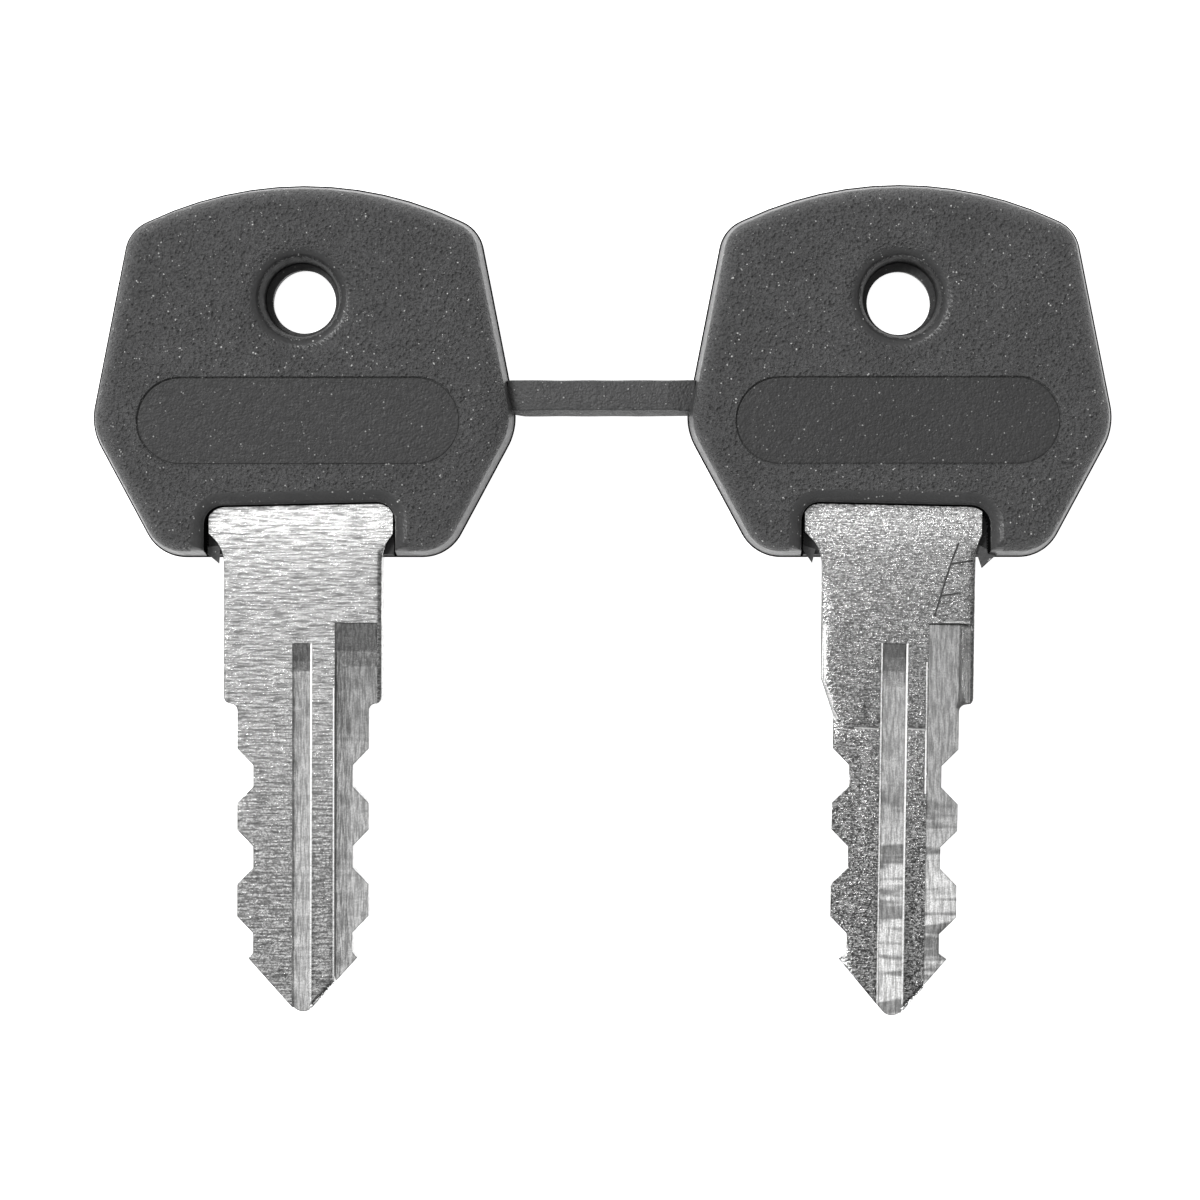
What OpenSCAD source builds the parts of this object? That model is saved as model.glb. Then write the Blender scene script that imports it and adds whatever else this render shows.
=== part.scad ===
// Pair of spare keys for a key-operated selector switch.
// Two double-bitted metal blades carry moulded plastic heads, and a moulded web joins the heads.
// The keys lie flat: X runs along the web, Y towards the tops of the heads, Z out of the front faces.
// X = 0 is midway between the keys, Y = 0 is the middle of the overall length, Z = 0 is the back.

/* [Pair] */
// Distance between the axes of the two keys
key_pitch = 34; // [30:0.5:60]

/* [Head] */
// Thickness of a head, front to back
head_t = 5; // [4.4:0.1:7]
// Radius of the rounded edge between a head's side wall and its faces
head_edge_r = 0.9; // [0.6:0.1:1]
// Slope of the side walls away from the parting line at mid-thickness, in degrees
head_draft = 8; // [4:1:18]
// Height of the top of the head
head_top_y = 23.7; // [23.2:0.1:26]
// Radius of the arc along the top of the head
head_top_r = 20.9; // [19:0.1:24]
// Height of the bottom of the head
head_bottom_y = 2.45; // [2:0.05:3]
// Half width where the two side walls would meet in a point
head_waist_x = 12.27; // [11.8:0.01:12.8]
// Height of that widest point
head_waist_y = 9.87; // [9:0.01:10.5]

/* [Key ring hole] */
// Height of the hole's axis
ring_y = 17.1; // [16.5:0.1:18]
// Radius of the back half of the hole, which is its narrowest part
ring_r = 1.8; // [1.5:0.05:2]
// Radius of the front half of the hole
ring_front_r = 2.25; // [2:0.05:2.5]

/* [Label recess] */
// Length of the recess, over its round ends
label_l = 18.4; // [12:0.1:19]
// Height of the recess
label_h = 5; // [3:0.1:5.4]
// Sideways shift of the recess from the head's axis
label_x = -0.16; // [-0.4:0.02:0.4]
// Height of the recess's centre line
label_y = 10.15; // [9.8:0.05:10.6]
// Depth of the recess
label_depth = 0.15; // [0.1:0.05:0.5]

/* [Blade] */
// Thickness of the metal
blade_t = 2.2; // [1.8:0.1:2.4]
// Half width of the plain shank of the left and the right key
shank_half = [4.51, 4.37];
// Half width of the toothed length of the left and the right key
tooth_half = [3.73, 3.6];
// Half width at the floor of the notches of the left and the right key
floor_half = [2.82, 2.65];
// Clockwise lean of the left and the right blade in their heads, in degrees
blade_lean = [0.1, 0.85];
// Sideways shift of the left and the right blade in their heads
blade_shift = [0, -0.12];
// Height of the tip of the left and the right key
tip_y = [-23.5, -23.7];

/* [Grooves] */
// Depth of the centre groove
groove_depth = 0.6; // [0.3:0.05:0.8]
// Depth of the side channel
channel_depth = 0.7; // [0.3:0.05:0.8]

/* [Web] */
// Height of the web, across its length
web_h = 2.1; // [1.6:0.1:2.4]
// Depth of the web, front to back
web_t = 1.9; // [1.4:0.1:2.2]
// Depth of the thin necks, front to back
neck_t = 1.3; // [0.8:0.1:1.3]
// Length of each neck
neck_l = 1.2; // [1:0.1:1.6]
// Difference in height between the web and a neck
neck_step = 0.16; // [0.1:0.02:0.3]

/* [Hidden] */
$fn = 96;

LEFT = 0;
RIGHT = 1;
plastic = [0.30, 0.30, 0.31];
metal = [0.78, 0.78, 0.79];
arc_steps = 10;
over = 1;

key_x = [-key_pitch / 2, key_pitch / 2];
mid_z = head_t / 2;
blade_top_z = mid_z + blade_t / 2;

// The head's outline: each corner is [x, y, radius], and the top arc is one wide corner.
head_top_half_angle = 25.2;
head_top_corner = [0, head_top_y - head_top_r + head_top_r / cos(head_top_half_angle), head_top_r];
head_shoulder = [10.06, 21.16, 2.1];
head_waist = [head_waist_x, head_waist_y, 3.5];
head_lobe = [8.28, head_bottom_y, 2.5];

// The notch at the bottom of each face, which shows the blade's root: its left and right side on each key.
notch_x = [[-5.48, 5.22], [-5.54, 4.98]];
notch_top_y = 5.37;
notch_corner_r = 1;

// The blade: its hidden tang, the flare under the head, the shank's shoulder and the teeth.
tang_top_y = 13.6;
tang_corner_r = 1.2;
tang_hole_r = 1.5;
tang_hole_y = 9.6;
flare_left = [5.43, 5.4];
flare_right = [5.17, 4.74];
flare_y = 3.78;
flare_foot_y = 2.85;
flare_r = 2;
shoulder_y = -5.92;
shoulder_r = 0.4;
worn_shoulder_y = [-4.5, -6.7];
notch_y = [-10.03, -14.66, -19.6];
notch_floor = 1.2;
notch_run = 0.95;
barb_half = 3.1;
barb_y = -20.42;
tip_r = 0.7;
tip_half_angle = 41.5;

// The grooves, as distances from the blade's axis.
groove_floor_x = [-0.54, 0.32];
groove_wall = 0.3;
groove_start_y = -2.46;
channel_x = [1.9, 4.17];
channel_wall = 0.08;
channel_start_y = -1.28;
run_in = 1.7;

// The web and its necks.
web_y = 11.53;
web_slope_low = 0.34;
web_slope_top = 0.1;
head_side_x = 12.03;
bar_half_l = key_pitch / 2 - head_side_x - neck_l;

function unit(v) = v / norm(v);

// One rounded corner of an outline. Turning left or right decides which way its arc runs.
function corner(before, at, after, inset) =
    let (
        p = [at[0], at[1]],
        d0 = unit(p - [before[0], before[1]]),
        d1 = unit([after[0], after[1]] - p),
        turn = d0[0] * d1[1] - d0[1] * d1[0],
        side = turn > 0 ? 1 : -1,
        half = acos(max(-1, min(1, d0 * d1))) / 2,
        centre = p + unit(d1 - d0) * at[2] / cos(half),
        r = at[2] - side * inset,
        start = atan2(d0[1], d0[0]) - side * 90
    )
    [for (i = [0 : arc_steps])
        let (a = start + side * 2 * half * i / arc_steps)
        centre + r * [cos(a), sin(a)]];

// An outline through corners given anticlockwise as [x, y, radius]. A radius of 0 is a sharp corner.
function outline(corners, inset = 0) =
    let (n = len(corners))
    [for (i = [0 : n - 1])
        each corners[i][2] > 0
            ? corner(corners[(i + n - 1) % n], corners[i], corners[(i + 1) % n], inset)
            : [[corners[i][0], corners[i][1]]]];

function mirrored(corners) =
    [for (i = [len(corners) - 1 : -1 : 0]) [-corners[i][0], corners[i][1], corners[i][2]]];

head_right_side = [head_lobe, head_waist, head_shoulder];
head_corners = concat(head_right_side, [head_top_corner], mirrored(head_right_side));

// The head's section from the parting line to a face, as [distance from the middle, inset]:
// a sloping wall, then an arc that ends flat at the face.
edge_steps = 5;
face_inset = head_edge_r * cos(head_draft)
    + (mid_z - head_edge_r + head_edge_r * sin(head_draft)) * tan(head_draft);
half_section = [for (i = [0 : edge_steps])
    let (a = head_draft + (90 - head_draft) * i / edge_steps)
    [mid_z - head_edge_r + head_edge_r * sin(a), face_inset - head_edge_r * cos(a)]];
head_levels = concat(
    [for (i = [edge_steps : -1 : 0]) [mid_z - half_section[i][0], half_section[i][1]]],
    [[mid_z, 0]],
    [for (p = half_section) [mid_z + p[0], p[1]]]
);

// The closed outer shape of a head: one ring of points for each level, and a flat face at each end.
module head_block() {
    rings = [for (level = head_levels)
        [for (p = outline(head_corners, level[1])) [p[0], p[1], level[0]]]];
    n = len(rings[0]);
    last = len(rings) - 1;
    polyhedron(
        points = [for (ring = rings) each ring],
        faces = concat(
            [[for (i = [0 : n - 1]) i]],
            [for (k = [0 : last - 1]) for (i = [0 : n - 1])
                [(k + 1) * n + i, (k + 1) * n + (i + 1) % n, k * n + (i + 1) % n, k * n + i]],
            [[for (i = [n - 1 : -1 : 0]) last * n + i]]
        )
    );
}

// The notch above and below the blade, open at the bottom of the head.
module face_notch(key) {
    x = notch_x[key];
    corner_x = [x[0] + notch_corner_r, x[1] - notch_corner_r];
    straight_top = notch_top_y - notch_corner_r;
    linear_extrude(head_t) union() {
        translate([x[0], 0]) square([x[1] - x[0], straight_top]);
        translate([corner_x[0], 0]) square([corner_x[1] - corner_x[0], notch_top_y]);
        for (middle = corner_x)
            translate([middle, straight_top]) circle(notch_corner_r);
    }
}

module face_notches(key) {
    translate([0, 0, blade_top_z]) face_notch(key);
    translate([0, 0, mid_z - blade_t / 2 - head_t]) face_notch(key);
}

// The label recess, a slot with round ends, sunk in both faces.
module label_slot() {
    straight = label_l - label_h;
    union() {
        translate([label_x - straight / 2, label_y - label_h / 2, 0])
            cube([straight, label_h, over + label_depth]);
        for (x = [-1, 1])
            translate([label_x + x * straight / 2, label_y, 0])
                cylinder(r = label_h / 2, h = over + label_depth);
    }
}

module label_recesses() {
    translate([0, 0, head_t - label_depth]) label_slot();
    translate([0, 0, -over]) label_slot();
}

// The key ring hole: narrow in the back half, wider in the front half.
module ring_hole() {
    translate([0, ring_y, -over]) cylinder(r = ring_r, h = head_t + 2 * over);
    translate([0, ring_y, mid_z]) cylinder(r = ring_front_r, h = head_t);
}

// The right flank of a blade from the tip up, as [x, y, radius].
function flank(key) =
    let (
        tooth = tooth_half[key],
        low = floor_half[key]
    )
    concat(
        [[barb_half, barb_y, 0]],
        [[low, notch_y[2] - notch_floor / 2 + 0.1, 0]],
        [[low, notch_y[2] + notch_floor / 2, 0]],
        [[tooth, notch_y[2] + notch_floor / 2 + notch_run, 0]],
        [for (i = [1, 0])
            each [
                [tooth, notch_y[i] - notch_floor / 2 - notch_run, 0],
                [low, notch_y[i] - notch_floor / 2, 0],
                [low, notch_y[i] + notch_floor / 2, 0],
                [tooth, notch_y[i] + notch_floor / 2 + notch_run, 0]
            ]]
    );

function square_shoulder(key) =
    [[tooth_half[key], shoulder_y, shoulder_r], [shank_half[key], shoulder_y, shoulder_r]];

// The right key's left shoulder is cut as a slope.
function worn_shoulder(key) =
    [[tooth_half[key], worn_shoulder_y[1], shoulder_r], [shank_half[key], worn_shoulder_y[0], shoulder_r]];

// One side of a blade's root, for the right side of the blade; half is the flare's half width.
function root_side(key, half) = [
    [shank_half[key], flare_foot_y, flare_r],
    [half, flare_y, 0],
    [half, tang_top_y, tang_corner_r]
];

function tip_corner(key) = [[0, tip_y[key] - tip_r * (1 / sin(tip_half_angle) - 1), tip_r]];

function blade_corners(key) = concat(
    tip_corner(key),
    flank(key),
    square_shoulder(key),
    root_side(key, flare_right[key]),
    mirrored(root_side(key, flare_left[key])),
    mirrored(key == RIGHT ? worn_shoulder(key) : square_shoulder(key)),
    mirrored(flank(key))
);

// Sets a blade into its head: shifted and leaning.
module set_in_head(key) {
    translate([blade_shift[key], 0, 0]) rotate([0, 0, -blade_lean[key]]) children();
}

// The flat blank of a blade, with the hole that the plastic fills.
module blade_blank(key) {
    set_in_head(key)
        translate([0, 0, mid_z - blade_t / 2])
            difference() {
                linear_extrude(blade_t) polygon(outline(blade_corners(key)));
                translate([0, tang_hole_y, -over]) cylinder(r = tang_hole_r, h = blade_t + 2 * over);
            }
}

// A milled slot with sloping side walls that runs out through the tip, and ramps in at its start.
module milled_slot(floor_x, wall, depth, start_y) {
    length = start_y - tip_y[RIGHT] + over;
    floor_z = blade_top_z - depth;
    rise = over * wall / depth;
    intersection() {
        translate([0, start_y, 0]) rotate([90, 0, 0]) linear_extrude(length)
            polygon([
                [floor_x[0], floor_z],
                [floor_x[1], floor_z],
                [floor_x[1] + wall + rise, blade_top_z + over],
                [floor_x[0] - wall - rise, blade_top_z + over]
            ]);
        translate([-key_pitch / 2, start_y, 0]) rotate([90, 0, 90]) linear_extrude(key_pitch)
            polygon([
                [0, blade_top_z],
                [0, blade_top_z + over],
                [-length, blade_top_z + over],
                [-length, floor_z],
                [-run_in, floor_z]
            ]);
    }
}

module face_slots() {
    milled_slot(groove_floor_x, groove_wall, groove_depth, groove_start_y);
    milled_slot(channel_x, channel_wall, channel_depth, channel_start_y);
}

// The slots of the front face, and the same slots turned half a turn about the blade's length.
module all_slots(key) {
    set_in_head(key) {
        face_slots();
        translate([0, 0, mid_z]) rotate([0, 180, 0]) translate([0, 0, -mid_z]) face_slots();
    }
}

module blade(key) {
    color(metal) translate([key_x[key], 0, 0]) difference() {
        blade_blank(key);
        all_slots(key);
    }
}

module head(key) {
    color(plastic) translate([key_x[key], 0, 0]) difference() {
        head_block();
        face_notches(key);
        label_recesses();
        ring_hole();
        blade_blank(key);
    }
}

// The web's section across its length: widest at the parting line, and sloping more along its lower side.
module web_section(h, t) {
    polygon([
        [-h / 2, 0],
        [-h / 2 + web_slope_low * t / web_t, -t / 2],
        [h / 2 - web_slope_top * t / web_t, -t / 2],
        [h / 2, 0],
        [h / 2 - web_slope_top * t / web_t, t / 2],
        [-h / 2 + web_slope_low * t / web_t, t / 2]
    ]);
}

// A length of web section from x0 to x1.
module web_length(x0, x1, h, t) {
    translate([x0, web_y, mid_z]) rotate([90, 0, 90]) linear_extrude(x1 - x0) web_section(h, t);
}

// The free bar of the web, between the two necks.
module link_bar() {
    color(plastic) web_length(-bar_half_l, bar_half_l, web_h, web_t);
}

// A thin neck, from the end of the bar to the sloping side wall of a head.
module neck(key) {
    reach = 2 * neck_l;
    x0 = key == LEFT ? -bar_half_l - reach : bar_half_l;
    color(plastic) difference() {
        web_length(x0, x0 + reach, web_h - neck_step, neck_t);
        translate([key_x[key], 0, 0]) head_block();
    }
}

module left_blade() {
    blade(LEFT);
}

module left_head() {
    head(LEFT);
}

module left_neck() {
    neck(LEFT);
}

module right_neck() {
    neck(RIGHT);
}

module right_head() {
    head(RIGHT);
}

module right_blade() {
    blade(RIGHT);
}

left_blade();
left_head();
left_neck();
link_bar();
right_neck();
right_head();
right_blade();
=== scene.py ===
"""The looks of a pair of spare keys for a key-operated selector switch.

Two double-bitted metal blades carry moulded plastic heads, and a moulded web joins the heads.
Shapes are worked out in millimetres in the CAD's frame and written to the meshes in metres.
"""

import math

import bmesh
import bpy
import numpy as np
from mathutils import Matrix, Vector
from mathutils.geometry import delaunay_2d_cdt


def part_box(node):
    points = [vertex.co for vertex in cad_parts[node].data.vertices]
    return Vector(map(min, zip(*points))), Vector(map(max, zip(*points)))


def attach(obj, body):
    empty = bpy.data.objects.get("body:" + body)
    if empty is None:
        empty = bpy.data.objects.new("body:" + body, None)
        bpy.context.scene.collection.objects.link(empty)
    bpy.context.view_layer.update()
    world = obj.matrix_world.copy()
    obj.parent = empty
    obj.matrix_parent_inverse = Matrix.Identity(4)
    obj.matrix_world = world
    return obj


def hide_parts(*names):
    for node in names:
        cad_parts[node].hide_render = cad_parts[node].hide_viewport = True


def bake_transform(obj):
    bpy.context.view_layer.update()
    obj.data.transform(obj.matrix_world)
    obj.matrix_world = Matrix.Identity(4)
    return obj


MM = 0.001
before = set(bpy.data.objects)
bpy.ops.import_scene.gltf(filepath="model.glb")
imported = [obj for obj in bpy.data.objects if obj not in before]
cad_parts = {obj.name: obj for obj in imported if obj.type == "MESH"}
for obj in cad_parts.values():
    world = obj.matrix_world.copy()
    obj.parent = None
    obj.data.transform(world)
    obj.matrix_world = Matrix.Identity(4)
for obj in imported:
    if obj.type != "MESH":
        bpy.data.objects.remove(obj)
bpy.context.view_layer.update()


def box_mm(node):
    """Lowest and highest corner of a CAD node, in millimetres."""
    low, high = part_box(node)
    return np.array(low) / MM, np.array(high) / MM


# ---------------------------------------------------------------- sizes, in millimetres

SIDES = ("left", "right")
HEAD_BOX = {side: box_mm(side + "_head") for side in SIDES}
BLADE_BOX = {side: box_mm(side + "_blade") for side in SIDES}
BAR_BOX = box_mm("link_bar")
NECK_BOX = {side: box_mm(side + "_neck") for side in SIDES}

KEY_X = {side: (HEAD_BOX[side][0][0] + HEAD_BOX[side][1][0]) / 2 for side in SIDES}
HEAD_T = HEAD_BOX["left"][1][2] - HEAD_BOX["left"][0][2]
MID_Z = HEAD_T / 2
HEAD_HALF_T = HEAD_T / 2
BLADE_HALF_T = (BLADE_BOX["left"][1][2] - BLADE_BOX["left"][0][2]) / 2
HEAD_TOP_Y = HEAD_BOX["left"][1][1]
HEAD_BOTTOM_Y = HEAD_BOX["left"][0][1]

# The head's outline: corners as (x, y, radius). The arc along the top is one wide corner.
TOP_R = 20.9
TOP_HALF_ANGLE = math.radians(25.2)
HEAD_SIDE = [(8.28, HEAD_BOTTOM_Y, 2.5), (12.27, 9.87, 3.5), (10.06, 21.16, 2.1)]
HEAD_TOP = (0.0, HEAD_TOP_Y - TOP_R + TOP_R / math.cos(TOP_HALF_ANGLE), TOP_R)

# The head's side wall: a thin lip along the parting line, a sloping wall and a rounded edge.
DRAFT = math.radians(8)
EDGE_R = 0.9
EDGE_STEPS = 7
LIP_W = 0.07
LIP_HALF_T = 0.03
# The heads' faces sink in soft waves of size SINK. They set in where the half thickness goes over
# SINK_FROM, and are whole SINK_RUN above it.
SINK = 0.006
SINK_FROM = 2.2
SINK_RUN = 0.3

RING_Y = 17.1
RING_R = 1.8
# How far the front and the back half of the ring hole are off its axis.
HOLE_SHIFT = {"left": ((-0.1, 0.06), (0.0, -0.05)), "right": ((0.0, 0.05), (-0.06, -0.16))}
LABEL_L = 18.4
LABEL_H = 5.0
LABEL_X = -0.16
LABEL_Y = 10.15
LABEL_DEPTH = 0.15
# The open notch at the bottom of each face, which shows the blade's root.
NOTCH_X = {"left": (-5.48, 5.22), "right": (-5.54, 4.98)}
NOTCH_TOP_Y = 5.37
NOTCH_R = 1.0
NOTCH_TILT = {"left": 0.022, "right": -0.022}
# Slivers of moulding flash at the notches' bottom corners: root, root and point, from the key's axis.
# FLASH_SINK is how far they lie below the blade's face.
FLASH = {
    "left": [((-5.9, 3.0), (-4.75, 3.1), (-4.8, 2.06))],
    "right": [((-5.75, 3.2), (-4.8, 2.9), (-5.0, 2.1)), ((4.15, 3.3), (5.5, 2.6), (4.64, 1.8))],
}
FLASH_T = 0.3
FLASH_SINK = 0.25

# Blades
SHANK_HALF = {"left": 4.51, "right": 4.37}
TOOTH_HALF = {"left": 3.73, "right": 3.6}
BITTING_HALF = {"left": 2.82, "right": 2.65}
LEAN = {"left": math.radians(0.1), "right": math.radians(0.85)}
BLADE_SHIFT = {"left": 0.0, "right": -0.12}
TIP_Y = {"left": -23.5, "right": -23.7}
TANG_TOP_Y = 13.6
TANG_R = 1.2
# The flare under the head: its half width to the left and to the right, the height at which the
# shank starts to widen into it, with the radius there, and the height at which it is at its widest.
FLARE = {"left": (5.43, 5.17), "right": (5.4, 4.74)}
FLARE_FROM_Y = 2.85
FLARE_R = 2.0
FLARE_TO_Y = 3.78
SHOULDER_Y = -5.92
SHOULDER_R = 0.4
# The right blade's left shoulder slopes from the shank's edge to the tooth's.
WORN_SHOULDER_Y = (-4.5, -6.7)
# Bitting: the middles of the three cuts, the length of their floors and of the slopes beside them.
BITTING_Y = (-10.03, -14.66, -19.6)
BITTING_FLOOR = 1.2
BITTING_RUN = 0.95
# The barb at the tip, whose slope takes a little of the last cut's floor.
BARB = (3.1, -20.42)
BARB_RUN = 0.1
TIP_R = 0.7
TIP_HALF_ANGLE = math.radians(41.5)
BLADE_BEVEL = 0.05
# Share of a slot's depth against the distance from its start: a ramp, a longer one and a short step.
RAMP_IN = ([0, 0.06, 0.55, 1.05, 1.6, 2.2], [0, 0.28, 0.58, 0.81, 0.95, 1.0])
LONG_RAMP_IN = ([0, 0.06, 0.8, 1.6, 2.5, 3.6], [0, 0.3, 0.58, 0.79, 0.94, 1.0])
STEP_IN = ([0, 0.04, 0.12, 0.2], [0, 0.6, 0.95, 1.0])
GROOVE_START = -2.46
CHANNEL_START = -1.28
# Milled slots, the centre groove first and then the side channel: the section as (distance from
# the key's axis, depth), where the slot starts, and how.
SLOTS = {
    "left": [
        dict(section=[(-0.6, 0), (-0.52, 0.6), (0.36, 0.6), (0.43, 0.01), (0.53, 0)],
             start=GROOVE_START, run_in=RAMP_IN),
        dict(section=[(1.82, 0), (1.9, 0.6), (2.65, 0.7), (4.17, 0.7), (4.25, 0)],
             start=CHANNEL_START, run_in=LONG_RAMP_IN),
    ],
    "right": [
        dict(section=[(-0.9, 0), (-0.82, 0.01), (-0.75, 0.56), (0.44, 0.6), (0.52, 0.01), (0.61, 0)],
             start=GROOVE_START, run_in=LONG_RAMP_IN),
        dict(section=[(1.76, 0), (1.84, 0.58), (3.6, 0.6), (4.1, 0.76), (4.17, 0)],
             start=CHANNEL_START, run_in=STEP_IN),
    ],
}
# Rolled, worn and polished edges: a line, the width of the band beside it, its depth at the line, and
# the share of the band that shines. That share gets near-white metal: partly polish where the right
# blade's shoulder is worn, and partly painted highlight, which alone makes the lines beside and above
# the channel shine. The lines are the shank's edge, the tip, the right blade's worn shoulder, two short
# scores across it, and the edges beside and above the channel. ROLL_POWER makes a band steep at its
# line and flat at its far side.
ROLL_POWER = 1.6
ROLLS = {
    "left": [
        ([(SHANK_HALF["left"], 2.7), (SHANK_HALF["left"], -5.8)], 0.3, 0.12, 0.0),
        ([BARB, (0, -23.6)], 0.16, 0.09, 0.0),
        ([(1.77, -5), (1.77, -21.7)], 0.05, 0.0, 0.8),
    ],
    "right": [
        ([(SHANK_HALF["right"], 2.7), (SHANK_HALF["right"], -5.8)], 0.3, 0.08, 0.0),
        ([BARB, (0, -23.8)], 0.18, 0.09, 0.0),
        ([(-3.6, -6.9), (-SHANK_HALF["right"], -4.5), (-SHANK_HALF["right"], -1.5)], 0.45, 0.15, 0.65),
        ([(-2.4, -7.28), (-0.98, -7.35)], 0.07, 0.04, 0.8),
        ([(0.68, -7.3), (1.72, -7.36)], 0.07, 0.04, 0.8),
        ([(1.7, -3.5), (1.7, -11)], 0.05, 0.0, 0.8),
        ([(2.7, -1.2), (3.7, -1.16), (4.1, -1.32), (4.25, -1.7)], 0.07, 0.02, 0.7),
    ],
}
# Dark scratches, as lines.
SCRATCHES = {
    "left": [],
    "right": [
        [(3.4, 3.3), (3.0, 2.24), (2.41, 0.27), (2.08, -0.9)],
        [(3.0, 2.1), (4.2, 2.3)],
        [(2.41, 0.27), (3.5, 0.45)],
    ],
}
SCRATCH_HALF = 0.055

# Web
WEB_H = BAR_BOX[1][1] - BAR_BOX[0][1]
WEB_T = BAR_BOX[1][2] - BAR_BOX[0][2]
WEB_Y = (BAR_BOX[0][1] + BAR_BOX[1][1]) / 2
WEB_SLOPE_LOW = 0.34
WEB_SLOPE_TOP = 0.1
WEB_WAVE = 0.015
WEB_STATIONS = 25
NECK_T = NECK_BOX["left"][1][2] - NECK_BOX["left"][0][2]
# A neck's inner end, at the bar, and its outer end, in its head's wall.
BAR_END_X = {"left": BAR_BOX[0][0], "right": BAR_BOX[1][0]}
HEAD_END_X = {"left": NECK_BOX["left"][0][0], "right": NECK_BOX["right"][1][0]}
# The share of a neck's length at which its lower side starts to rise, and the rise over a whole length.
NECK_RISE = {"left": (0.4, 0.24), "right": (0.0, 0.04)}
NECK_POWER = 1.3

# Pitches of the meshes' free points, and the distance between their rows as a share of the pitch.
HEAD_PITCH = 0.85
CORNER_PITCH = 0.09
BLADE_PITCH = 0.5
RUN_IN_PITCH = 0.1
ROW_SHARE = 0.87
# How far the free points keep from a head's rim, its recess's edge, its notch and its hole's axis,
# and from a blade's rim and its lines.
HEAD_CLEAR = dict(rim=1.7, label=0.3, notch=1.1, hole=3.5)
BLADE_CLEAR = dict(rim=0.2, line=0.1)
# One more line this far beyond the last keeps a rounding's shading off the flat face.
RIM_MARGIN = 0.12
HOLE_MARGIN = 0.1

# Material slots of a head and of a blade, in the order of their lists of materials.
GRAIN, LABEL, WALL, SHADED_BORE, PAINTED_SHADOW = range(5)
BRUSHED, GROOVE, CUT, POLISH_AND_HIGHLIGHT, SCRATCHED, CHANNEL = range(6)
# Where a head's materials end: radii round the ring hole, and distances out from the notch's edge.
BORE_TO = 2.34
HOLE_RIM_TO = 2.85
NOTCH_WALL_TO = -0.03
NOTCH_SHADOW_TO = 0.1
NOTCH_RIM_TO = 0.8
# The recess's material is on the faces within this depth of the head's surface.
LABEL_SKIN = 0.4
# A blade's face is a cut wall if its normal's z is less than STEEP, and belongs to a milled slot if
# it lies more than SLOT_FROM below the surface and under SLOT_TOP_Y.
STEEP = 0.2
SLOT_FROM = 0.09
SLOT_TOP_Y = -1


# ---------------------------------------------------------------- outlines and triangles

def unit(v):
    return v / np.linalg.norm(v)


def corner_arc(before, at, after, inset, steps):
    """One rounded corner of an outline, moved inwards by inset."""
    p = np.array(at[:2])
    d0 = unit(p - np.array(before[:2]))
    d1 = unit(np.array(after[:2]) - p)
    side = 1 if d0[0] * d1[1] - d0[1] * d1[0] > 0 else -1
    half = math.acos(max(-1.0, min(1.0, float(d0 @ d1)))) / 2
    centre = p + unit(d1 - d0) * at[2] / math.cos(half)
    r = at[2] - side * inset
    start = math.atan2(d0[1], d0[0]) - side * math.pi / 2
    angles = start + side * 2 * half * np.linspace(0, 1, steps + 1)
    return centre + r * np.stack([np.cos(angles), np.sin(angles)], 1)


def outline(corners, inset=0.0, steps=12):
    """A closed anticlockwise line through corners (x, y, radius). A radius of 0 is a sharp corner."""
    n = len(corners)
    parts = []
    for i, at in enumerate(corners):
        if at[2] > 0:
            parts.append(corner_arc(corners[i - 1], at, corners[(i + 1) % n], inset, steps))
        else:
            parts.append(np.array([at[:2]]))
    return np.concatenate(parts)


def mirrored(corners):
    """The same corners on the other side of the key's axis, in the outline's direction."""
    return [(-x, y, r) for x, y, r in reversed(corners)]


# Least value of 1 + cos(turn) at a corner, which keeps the mitres of sharp corners short.
MITRE_LIMIT = 0.35


def inset_line(line, inset):
    """A closed anticlockwise line moved inwards, each corner along its mitre."""
    ahead = np.roll(line, -1, 0) - line
    ahead /= np.linalg.norm(ahead, axis=1)[:, None]
    normal = np.stack([-ahead[:, 1], ahead[:, 0]], 1)
    before = np.roll(normal, 1, 0)
    scale = 1 + (normal * before).sum(1)
    return line + inset * (normal + before) / np.maximum(scale, MITRE_LIMIT)[:, None]


def distance(points, line, closed=True):
    """Distance from each point to a line of straight segments."""
    a = line if closed else line[:-1]
    b = np.roll(line, -1, 0) if closed else line[1:]
    ab = b - a
    length2 = np.maximum((ab ** 2).sum(1), 1e-12)
    best = np.full(len(points), np.inf)
    for start, step, l2 in zip(a, ab, length2):
        t = np.clip(((points - start) @ step) / l2, 0, 1)
        gap = points - start - t[:, None] * step
        best = np.minimum(best, (gap ** 2).sum(1))
    return np.sqrt(best)


def inside(points, line):
    """True where a point is within a closed line."""
    x, y = points[:, 0], points[:, 1]
    hit = np.zeros(len(points), bool)
    for (x0, y0), (x1, y1) in zip(line, np.roll(line, -1, 0)):
        if y0 == y1:
            continue
        crosses = (y0 > y) != (y1 > y)
        hit ^= crosses & (x < (x1 - x0) * (y - y0) / (y1 - y0) + x0)
    return hit


def circle(centre, r, steps=72):
    """A closed line round a centre."""
    a = np.linspace(0, 2 * math.pi, steps, endpoint=False)
    return np.array(centre) + r * np.stack([np.cos(a), np.sin(a)], 1)


def grid(low, high, pitch):
    """Rows of points, every second row shifted by half a pitch."""
    rows = []
    for k, y in enumerate(np.arange(low[1], high[1], pitch * ROW_SHARE)):
        x = np.arange(low[0] + (k % 2) * pitch / 2, high[0], pitch)
        rows.append(np.stack([x, np.full(len(x), y)], 1))
    return np.concatenate(rows)


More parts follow.
